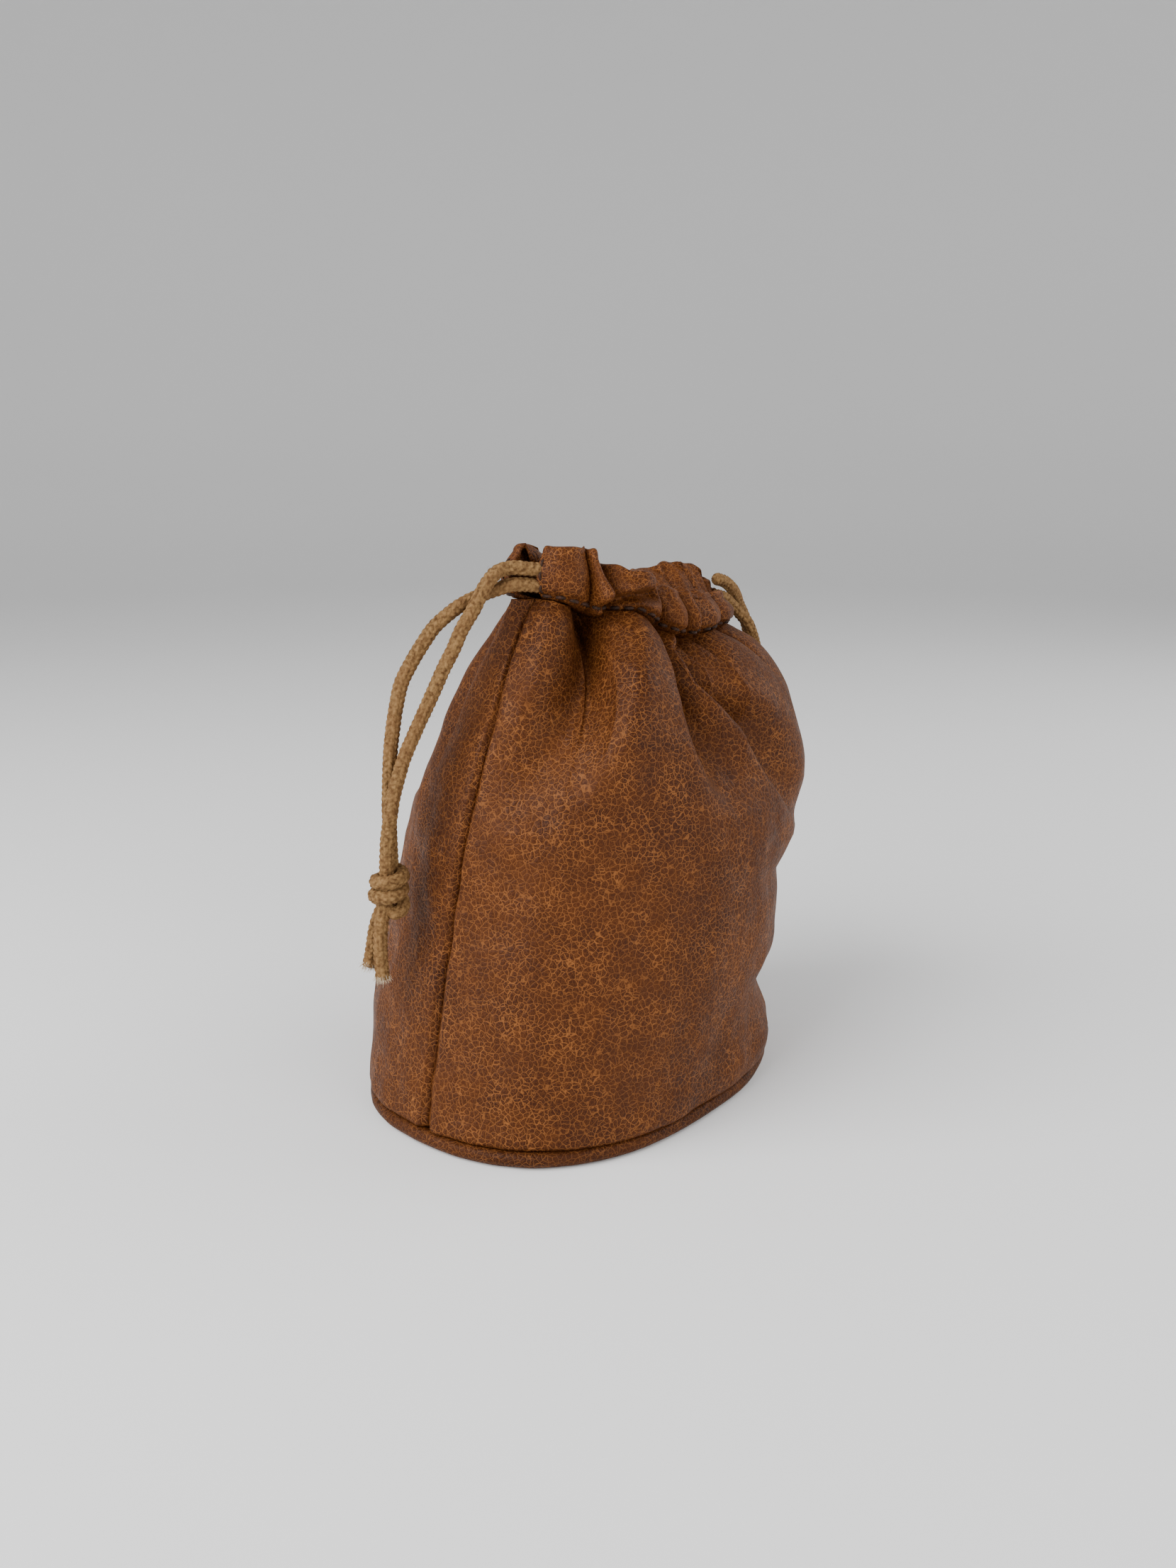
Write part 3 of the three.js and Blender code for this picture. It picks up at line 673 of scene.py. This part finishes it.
class Panel:
    """One side of the bag: the wall and the gathered casing above it."""

    def __init__(self, side):
        self.side = side
        self.values, self.left, self.right, self.phase, centres = lobe_columns(side)
        along, _ = folded(self.values, self.left, self.right, self.phase, "seam", 1.0)
        self.sag = np.interp(along, centres, self.values["sag"])
        self.top = np.interp(along, centres[1:], self.values["top"][1:])
        own_top = self.values["top"][self.right]
        self.top = 0.45 * self.top + 0.55 * own_top
        kernel = np.hanning(23) / np.hanning(23).sum()
        self.top = np.convolve(np.pad(self.top, 11, mode="edge"), kernel, mode="valid")

    def crease_depth(self, height):
        """How deep the creases are at each column and height."""
        def one(lobe):
            fade = self.values["fade"][lobe]
            part = np.clip((height - fade) / (SEAM_HEIGHT - fade), 0, 1)
            return self.values["deep"][lobe] * part ** 0.85
        return one(self.left) * (1 - self.phase) + one(self.right) * self.phase

    def neck(self, along):
        table = np.array(NECK[self.side])
        return np.interp(along, table[:, 0], table[:, 1])

    def fold_depth(self, along, height):
        """How far the big folds push the wall in at these places and heights."""
        total = np.zeros(np.broadcast(along, height).shape)
        girth = np.interp(height, [0, 95, 125, SEAM_HEIGHT], [192, 191, 167, 118])
        for fold in FOLDS[self.side]:
            path = np.array(fold[::-1])
            place, depth, left, right = (np.interp(height, path[:, 0], path[:, k]) for k in range(1, 5))
            depth = depth * smoothstep(path[0, 0] - 1, path[0, 0] + 6, height)
            offset = (along - place) * girth
            reach = np.where(offset < 0, left, right)
            total = total + depth * np.exp(-(offset / reach) ** 2)
        return total

    def wall(self, height, extra=0.0):
        """Points of the wall at nominal heights, an array of rows by one column."""
        gather = np.clip((height - GATHER_FOOT) / (SEAM_HEIGHT - GATHER_FOOT), 0, 1)
        low, crown = folded(self.values, self.left, self.right, self.phase, "wall", gather)
        high, _ = folded(self.values, self.left, self.right, self.phase, "seam", gather)
        fan = gather ** 0.9
        along = low * (1 - fan) + high * fan
        sunk = self.values["sunk"][self.right] * crown * smoothstep(96, 132, height)
        sunk = sunk * (1 - 0.5 * smoothstep(141, SEAM_HEIGHT, height))
        inset = self.crease_depth(height) * (1 - crown) + sunk + extra + self.fold_depth(along, height)
        below = SEAM_HEIGHT - height
        inset = inset + SEAM_GROOVE * np.exp(-(below / SEAM_GROOVE_REACH) ** 2)
        inset = inset + self.neck(along) * np.exp(-(below / NECK_REACH) ** 1.3)
        values = section_values(np.broadcast_to(height, along.shape))
        x, y, cross = oval(values, self.side, along, inset)
        part = height / SEAM_HEIGHT
        z = height - SEAM_TILT * part ** 2 * cross - self.sag * part ** 7
        return np.stack([x, y, z], -1), along

    def casing_outer(self, t):
        """Points of the casing's outer face: t rises from 0 at the seam to 1 at the top."""
        along, crown = folded(self.values, self.left, self.right, self.phase, "seam", 1.0)
        along = SLIT_SHARE + along * (1 - 2 * SLIT_SHARE)
        deep = self.values["deep"]
        deep = deep[self.left] * (1 - self.phase) + deep[self.right] * self.phase
        puff = 1.8 * (1 - smoothstep(0, 0.22, t)) - 1.8 * np.sin(np.pi * np.clip(t, 0, 1)) ** 0.8
        lean = 1.2 * smoothstep(0.45, 1.0, t) + 3.0 * t ** 2
        inset = deep * (1 - crown) * (1 - 0.25 * t) + puff + lean + self.neck(along)
        values = section_values(np.full(along.shape, SEAM_HEIGHT))
        if self.side == "front":
            # The second gather is a roll that leans to the right, over a hollow and beside a cleft.
            across, up = along * 100, 14 * t
            ridge = ((across - 23) * 14 - up * 15.5) / math.hypot(14, 15.5)
            valley = ((across - 27) * 6 - (up - 1.7) * 13) / math.hypot(6, 13)
            reach = smoothstep(22, 26, across) * smoothstep(43, 40, across)
            inset = inset - reach * 4.6 * np.exp(-(ridge / 3.0) ** 2)
            inset = inset + reach * 6.0 * np.exp(-(valley / 1.7) ** 2) * smoothstep(1.15, 0.6, t)
            wedge = np.exp(-((across - 27.6) / (0.6 + 1.3 * t)) ** 2) * smoothstep(0.25, 0.75, t)
            inset = inset + 5.0 * wedge
        x, y, cross = oval(values, self.side, along, inset)
        foot = SEAM_HEIGHT - SEAM_TILT * cross - self.sag + 0.2
        return np.stack([x, y, foot + (self.top - foot) * t], -1), along, crown


SLIT_SHARE = math.asin((SLIT / 2 / 22) ** 1.05) / math.pi  # half a slit, as a share of a side
ROLL = 2.3  # radius of the casing's rolled top edge
MOUTH_GAP = 2.2
MOUTH_SHIFT = 5.0  # the mouth is drawn this far towards the front


WALL_SEED = 11
CASING_SEEDS = {"front": 21, "back": 31}
CASING_UNEVEN = 0.55


def disturb(points, seed, amount=1.0):
    """The uneven surface of soft leather: slow swells and small puckers, moved along x and y."""
    swell = 0.75 * ripple(points, seed, 60) + 0.28 * ripple(points * [1, 1, 0.55], seed + 1, 17)
    centre = np.array([12.0, -3.0, 0])
    out = (points - centre) * [1, 1, 0]
    out /= np.maximum(np.linalg.norm(out, axis=-1, keepdims=True), 1e-6)
    return points + out * (swell * amount)[..., None]


def shell(build, outer, inner, outward):
    """Adds a closed piece of leather between two grids of the same size."""
    rows, columns = outer.shape[:2]
    count = rows * columns
    front = grid_faces(rows, columns)
    back = [[index + count for index in face[::-1]] for face in front]
    rim = [i * columns for i in range(rows)] + [(rows - 1) * columns + j for j in range(1, columns)]
    rim += [i * columns + columns - 1 for i in range(rows - 2, -1, -1)] + list(range(columns - 2, 0, -1))
    edge = [[a, a + count, b + count, b] for a, b in zip(rim, rim[1:] + rim[:1])]
    faces = front + back + [face[::-1] for face in edge]
    build.add(np.vstack([outer.reshape(-1, 3), inner.reshape(-1, 3)]), faces if outward else flipped(faces))


def add_wall(side, panel):
    """One panel, turned in at its foot and at both side seams."""
    low = [WALL_FOOT - 0.3, WALL_FOOT - 0.6, WALL_FOOT - 0.4, WALL_FOOT, WALL_FOOT + 0.9]
    low_inset = [4.6, 2.6, 0.9, -0.3, -0.8]
    levels = np.concatenate([low, np.linspace(WALL_FOOT + 2, 80, 46), np.linspace(81, SEAM_HEIGHT, 112)])
    extra = np.concatenate([low_inset, -0.8 * np.exp(-(levels[5:] - WALL_FOOT - 2) / 6)])
    height, extra = levels[:, None], extra[:, None]
    outer, along = panel.wall(height, extra)
    edge = np.minimum(along, 1 - along) * PANEL_WIDTH
    proud = 0.35 if side == "front" else 0.0
    turned = 1.9 * np.exp(-(edge / 1.0) ** 2) - proud * np.exp(-((edge - 3) / 2.5) ** 2)
    pucker = 0.3 * np.exp(-edge / 9) * ripple(np.stack([0 * edge, 0 * edge, height + 0 * edge], -1), 9, 15)
    outer, along = panel.wall(height, extra + turned + pucker)
    inner, _ = panel.wall(height, extra + turned + pucker + LEATHER)
    sway = -0.25 if side == "front" else 0.25
    outer, inner = disturb(outer, WALL_SEED), disturb(inner, WALL_SEED)
    flange_out, flange_in = [], []
    for grid, store in ((outer, flange_out), (inner, flange_in)):
        for column, sign in ((0, 1), (-1, -1)):
            turned_in = grid[:, column] + [sign * 4.5, sway, 0]
            store.append(turned_in[:, None])
    outer = np.concatenate([flange_out[0], outer, flange_out[1]], 1)
    inner = np.concatenate([flange_in[0], inner, flange_in[1]], 1)
    build = Build()
    shell(build, outer, inner, side == "front")
    piece = build.finish(f"{side}_wall", [WALL_LEATHER])
    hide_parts(f"{side}_panel")
    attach(piece, "bag")


def mouth_line(panel, along):
    """The inner edge of the casing's top, close to the mouth's long axis."""
    values = section_values(np.full(along.shape, SEAM_HEIGHT))
    narrow = values.copy()
    narrow[..., 0] *= 0.80
    narrow[..., 1] = MOUTH_GAP
    narrow[..., 2] += 1.5
    x, y, cross = oval(narrow, panel.side, along, 0.0)
    toward_front = MOUTH_SHIFT * smoothstep(-0.6, 0.0, cross) * smoothstep(1.0, 0.75, cross)
    return x, y - toward_front, cross


# Rows of the casing's section: its outer face, the rolled edge, the top, and the mouth's edge after it.
FACE_ROWS = 26
ROLL_ROWS = 7
TOP_ROWS = 14
MOUTH_ROW = FACE_ROWS + ROLL_ROWS + TOP_ROWS
# How far the leather goes down inside the mouth, and back under the top.
MOUTH_EDGE = ((1.2, 0.2), (3.5, 0.5), (7.0, 0.9), (11.0, 1.4))


def casing_loop(panel):
    """Rows of the casing's closed section: up the outer face, over the top, in to the mouth and down."""
    rows = []
    for t in np.linspace(0, 0.86, FACE_ROWS):
        points, along, crown = panel.casing_outer(np.full(panel.phase.shape, t))
        rows.append(points)
    shoulder = rows[-1]
    brim, _, _ = panel.casing_outer(np.full(panel.phase.shape, 1.0))
    x, y, cross = mouth_line(panel, along)
    mouth_z = np.interp(along, [0, 0.15, 0.4, 0.55, 0.8, 1], [163, 163, 156, 152.5, 150.5, 147])
    mouth = np.stack([x, y, mouth_z], -1)
    inward = (mouth - brim) * [1, 1, 0]
    run = np.linalg.norm(inward, axis=-1, keepdims=True)
    inward = inward / np.maximum(run, 1e-6)
    crease = (1 - crown)[:, None]
    roll = np.minimum(ROLL, run * 0.45)
    for angle in np.linspace(0, math.pi / 2, ROLL_ROWS + 1)[1:]:
        place = shoulder + inward * roll * (1 - math.cos(angle))
        place = place + (brim - shoulder) * [0, 0, 1] * math.sin(angle)
        rows.append(place)
    crest = rows[-1]
    for t in np.linspace(0, 1, TOP_ROWS + 1)[1:]:
        place = crest * (1 - t) + mouth * t
        arch = 1.6 * math.sin(math.pi * min(1.0, t * 1.25)) * (1 - crease)
        sink = 4.5 * math.sin(math.pi * t * 0.94) ** 0.8 * crease ** 1.5
        rows.append(place + [0, 0, 1] * (arch - sink))
    for drop, back in MOUTH_EDGE:
        rows.append(mouth - inward * back - [0, 0, drop])
    floor_row = rows[0] + inward * np.minimum(6.0, run * 0.6) - [0, 0, 1.5]
    rows.append(floor_row)
    rows = np.array(rows)
    arc = np.concatenate([[0], np.cumsum(np.linalg.norm(np.diff(rows[12], axis=0), axis=1))])
    pucker = ripple(np.stack([arc, 0 * arc, 0 * arc], -1), 77, 8, 2)
    pucker = pucker * (0.25 + 0.75 * smoothstep(0.18, 0.3, along))
    share = np.linspace(0.2, 1, FACE_ROWS)[:, None, None]
    rows[:FACE_ROWS] -= (inward * pucker[:, None] * 0.6) * share
    rows[FACE_ROWS:MOUTH_ROW + 1, :, 2] += 0.7 * pucker
    return disturb(rows, CASING_SEEDS[panel.side], CASING_UNEVEN)


def add_casing(side, panel):
    """The folded strip at the top, closed at each end by a hem turned inside."""
    loop = casing_loop(panel)
    rows = len(loop)
    centre = loop[:FACE_ROWS].mean(0) * 0.45 + loop[FACE_ROWS:].mean(0) * 0.55
    hem_out, hem_in = [], []
    for column, step in ((0, 1), (-1, -1)):
        ring, middle = loop[:, column], centre[column]
        toward = middle - ring
        toward = toward / np.maximum(np.linalg.norm(toward, axis=1, keepdims=True), 1e-6)
        ends = [ring + toward * 0.4, ring + toward * LEATHER]
        for depth in (5, 10, 16):
            deeper = loop[:, column + step * depth]
            inside = centre[column + step * depth] - deeper
            inside = inside / np.maximum(np.linalg.norm(inside, axis=1, keepdims=True), 1e-6)
            ends.append(deeper + inside * LEATHER)
        (hem_out if column == 0 else hem_in).extend(ends)
    first = np.stack(hem_out[::-1], 1)
    second = np.stack(hem_in, 1)
    grid = np.concatenate([first, loop, second], 1)
    columns = grid.shape[1]
    faces = grid_faces(rows, columns, wrap_rows=True)
    caps = [grid[:, 0].mean(0), grid[:, -1].mean(0)]
    count = rows * columns
    for i in range(rows):
        here, after = i * columns, ((i + 1) % rows) * columns
        faces += [[count, after, here], [count + 1, here + columns - 1, after + columns - 1]]
    build = Build()
    build.add(np.vstack([grid.reshape(-1, 3), caps]), faces if side == "front" else flipped(faces))
    piece = build.finish(f"{side}_gathered_casing", [CASING_LEATHER])
    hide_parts(f"{side}_casing")
    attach(piece, "bag")


STITCH_PITCH = 1.75  # from one stitch to the next, in stitch lengths
STITCH_MARGIN = 0.8  # bare thread line left at both ends of a row


def stitches(name, places, outs, length, thickness, nodes):
    """Thread stitches along a line of points: each a short bar that dips into the leather at both ends."""
    build = Build()
    gone = np.concatenate([[0], np.cumsum(np.linalg.norm(np.diff(places, axis=0), axis=1))])
    for start in np.arange(STITCH_MARGIN, gone[-1] - length - STITCH_MARGIN, length * STITCH_PITCH):
        spots = np.linspace(start, start + length, 9)
        line = np.stack([np.interp(spots, gone, places[:, k]) for k in range(3)], -1)
        out = np.stack([np.interp(spots, gone, outs[:, k]) for k in range(3)], -1)
        lift = thickness * (np.sin(np.linspace(0, np.pi, 9)) ** 0.5 * 1.05 - 0.6)
        points, faces = tube(line + out * lift[:, None], thickness / 2, 8)
        build.add(points, faces)
    piece = build.finish(name, [BROWN_THREAD])
    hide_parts(*nodes)
    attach(piece, "bag")


def outward(points, centre=(20.0, -7.0)):
    """Level directions away from an upright axis."""
    out = (points - [*centre, 0]) * [1, 1, 0]
    return out / np.linalg.norm(out, axis=-1, keepdims=True)


def add_side_threads(side, panel):
    """The stitches along the casing's foot and those that hem its two ends."""
    full = panel.phase.shape
    seam, _, _ = panel.casing_outer(np.full(full, 0.07))
    seam = disturb(seam[None], CASING_SEEDS[side], CASING_UNEVEN)[0]
    tangent = np.gradient(seam, axis=0)
    out = np.cross(tangent, [0, 0, 1.0])
    out /= np.maximum(np.linalg.norm(out, axis=1, keepdims=True), 1e-6)
    out = out if side == "front" else -out
    stitches(f"{side}_casing_stitches", seam + out * 0.15, out, 2.4, 1.0, [f"{side}_casing_seam_thread"])
    for end, column in (("left", 9), ("right", -10)):
        rows = []
        for t in np.linspace(0.1, 0.86, 30):
            points, _, _ = panel.casing_outer(np.full(full, t))
            rows.append(points[column])
        line = disturb(np.array(rows)[None], CASING_SEEDS[side], CASING_UNEVEN)[0]
        stitches(f"{side}_{end}_hem_stitches", line, outward(line), 2.2, 0.75,
                 [f"{side}_casing_{end}_hem_thread"])


panels = {side: Panel(side) for side in ("front", "back")}
for side, panel in panels.items():
    add_wall(side, panel)
    add_casing(side, panel)
    add_side_threads(side, panel)


# ---------------------------------------------------------------- base and hidden seams

def base_row(height, inset, count=220):
    along = np.linspace(0, 2, count, endpoint=False)
    values = section_values(np.zeros(count))
    x, y, _ = oval(values, "front", along, inset)
    return np.stack([x, y, np.full(count, height)], -1)


def add_base():
    """The base: a round-edged band, its leather turned in under the wall, on a flat bottom."""
    # Inset and height of each row, from under the bottom round the edge to the floor inside.
    profile = [(30, 0.25), (12, 0.1), (4, 0.0), (1.2, 0.12), (0.0, 0.45), (-0.8, 1.1), (-1.2, 2.1),
               (-1.1, 3.3), (-0.5, 4.2), (0.7, 4.7), (2.2, 4.7), (3.4, 3.6), (5, 1.6), (12, 1.45),
               (30, 1.4)]
    rows = np.array([base_row(height, inset) for inset, height in profile])
    uneven = 0.22 * ripple(rows * [1, 1, 0], 61, 24)
    rows = rows + outward(rows, (0.0, 0.0)) * uneven[..., None]
    count = rows.shape[1]
    faces = grid_faces(len(rows), count, wrap_columns=True)
    total = len(rows) * count
    faces += [[total, (j + 1) % count, j] for j in range(count)]
    last = total - count
    faces += [[total + 1, last + j, last + (j + 1) % count] for j in range(count)]
    build = Build()
    build.add(np.vstack([rows.reshape(-1, 3), [[0, 0, 0.25], [0, 0, 1.4]]]), faces)
    piece = build.finish("round_base", [BASE_LEATHER])
    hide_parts("base_panel")
    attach(piece, "bag")


def add_hidden_seams():
    """Stitches inside the base's and the sides' turned seams."""
    line = base_row(4.4, 2.6)
    line = np.vstack([line, line[:1]])
    stitches("base_stitches", line, outward(line, (0.0, 0.0)), 2.2, 0.7, ["base_seam_thread"])
    height = np.linspace(8, SEAM_HEIGHT - 3, 160)[:, None]
    for end, column in (("left", 0), ("right", -1)):
        line, _ = panels["front"].wall(height, 3.2)
        line = line[:, column]
        stitches(f"{end}_side_stitches", line, outward(line), 2.2, 0.6, [f"{end}_side_seam_thread"])


add_base()
add_hidden_seams()


# ---------------------------------------------------------------- cords inside the casing

LAP_RADIUS = 1.1
LAP_ROOM = 2.2  # the lap's middle stays this far under the casing's top
LAP_STEP = 5  # columns of leather between the lap's points
LAP_NEAR = 8  # columns of leather to each side that can touch it


def casing_middle(side):
    """The roomiest place of the casing's section, every few columns from the left slit to the right."""
    loop = casing_loop(panels[side])
    count = loop.shape[1]
    middle = []
    for column in range(int(0.06 * count), int(0.94 * count), LAP_STEP):
        walls = loop[:, max(0, column - LAP_NEAR):column + LAP_NEAR + 1].reshape(-1, 3)
        outer, inner = loop[2:24:2, column], loop[-2:-6:-1, column].mean(0)
        share = np.linspace(0.15, 0.85, 15)[:, None, None]
        level = outer[None, :, :] * [0, 0, 1]
        tries = (outer * (1 - share) + inner * share) * [1, 1, 0] + level
        tries = tries.reshape(-1, 3)
        clear = np.linalg.norm(tries[:, None, :] - walls[None, :, :], axis=2).min(1)
        below = tries[:, 2] + LAP_ROOM < loop[FACE_ROWS + ROLL_ROWS:MOUTH_ROW + 1, column, 2].min()
        middle.append(tries[np.argmax(clear * np.where(below, 1.0, 0.3))])
    return np.array(middle)


def add_casing_run(cord_name, rise, start_left):
    """The part of a cord that runs round inside the casing, from its slit and back."""
    front, back = casing_middle("front"), casing_middle("back")[::-1]
    lap = np.vstack([front, back] if start_left else [back, front])
    line, _ = smooth_line(lap + [0, 0, rise], 0.6)
    build = Build()
    points, faces = tube(line, LAP_RADIUS, 12)
    build.add(points, faces)
    piece = build.finish(f"{cord_name}_inside_casing", [CORD_COTTON])
    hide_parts(f"{cord_name}_casing_run")
    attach(piece, "bag")


add_casing_run("left_cord", 0.9, True)
add_casing_run("right_cord", -1.1, False)


# ---------------------------------------------------------------- floor and light

def add_light(name, place, size, power):
    lamp = bpy.data.lights.new(name, "AREA")
    lamp.size = size
    lamp.energy = power
    light = bpy.data.objects.new(name, lamp)
    light.location = place
    light.rotation_euler = (Vector(LIT_PLACE) - Vector(place)).to_track_quat("-Z", "Y").to_euler()
    bpy.context.scene.collection.objects.link(light)


LIGHTS = {  # place in metres, size in metres, power in watts
    "key": ((-0.80, 0.22, 0.68), 1.0, 18),
    "front_fill": ((-0.15, -1.1, 0.45), 0.8, 6),
    "right_fill": ((0.75, -0.55, 0.6), 0.8, 5),
}
LIT_PLACE = (0, 0, 0.09)
AMBIENT = 0.42
FLOOR_SIDES = 96

# The stage is a floor that turns up into a wall all round: radius and height, in metres.
STAGE_PROFILE = [(1.0, 0), (1.1, 0), (1.7, 0), (2.0, 0.03), (2.3, 0.15), (2.5, 0.4), (2.6, 0.8), (2.6, 1.8)]


def add_studio():
    white = bpy.data.materials.new("pale_floor")
    white.use_nodes = True
    surface = white.node_tree.nodes["Principled BSDF"]
    surface.inputs["Base Color"].default_value = (0.9, 0.9, 0.9, 1)
    surface.inputs["Roughness"].default_value = 0.9
    turn = np.linspace(0, 2 * math.pi, FLOOR_SIDES, endpoint=False)
    rows = [np.stack([radius * np.cos(turn), radius * np.sin(turn), height + 0 * turn], -1)
            for radius, height in STAGE_PROFILE]
    mesh = bpy.data.meshes.new("floor")
    faces = [list(range(FLOOR_SIDES))] + flipped(grid_faces(len(rows), FLOOR_SIDES, wrap_columns=True))
    mesh.from_pydata(np.vstack(rows).tolist(), [], faces)
    mesh.polygons.foreach_set("use_smooth", [True] * len(mesh.polygons))
    mesh.materials.append(white)
    floor = bpy.data.objects.new("floor", mesh)
    bpy.context.scene.collection.objects.link(floor)
    world = bpy.data.worlds.new("studio")
    world.use_nodes = True
    world.node_tree.nodes["Background"].inputs["Color"].default_value = (1, 1, 1, 1)
    world.node_tree.nodes["Background"].inputs["Strength"].default_value = AMBIENT
    bpy.context.scene.world = world
    for name, (place, size, power) in LIGHTS.items():
        add_light(name, place, size, power)


add_studio()
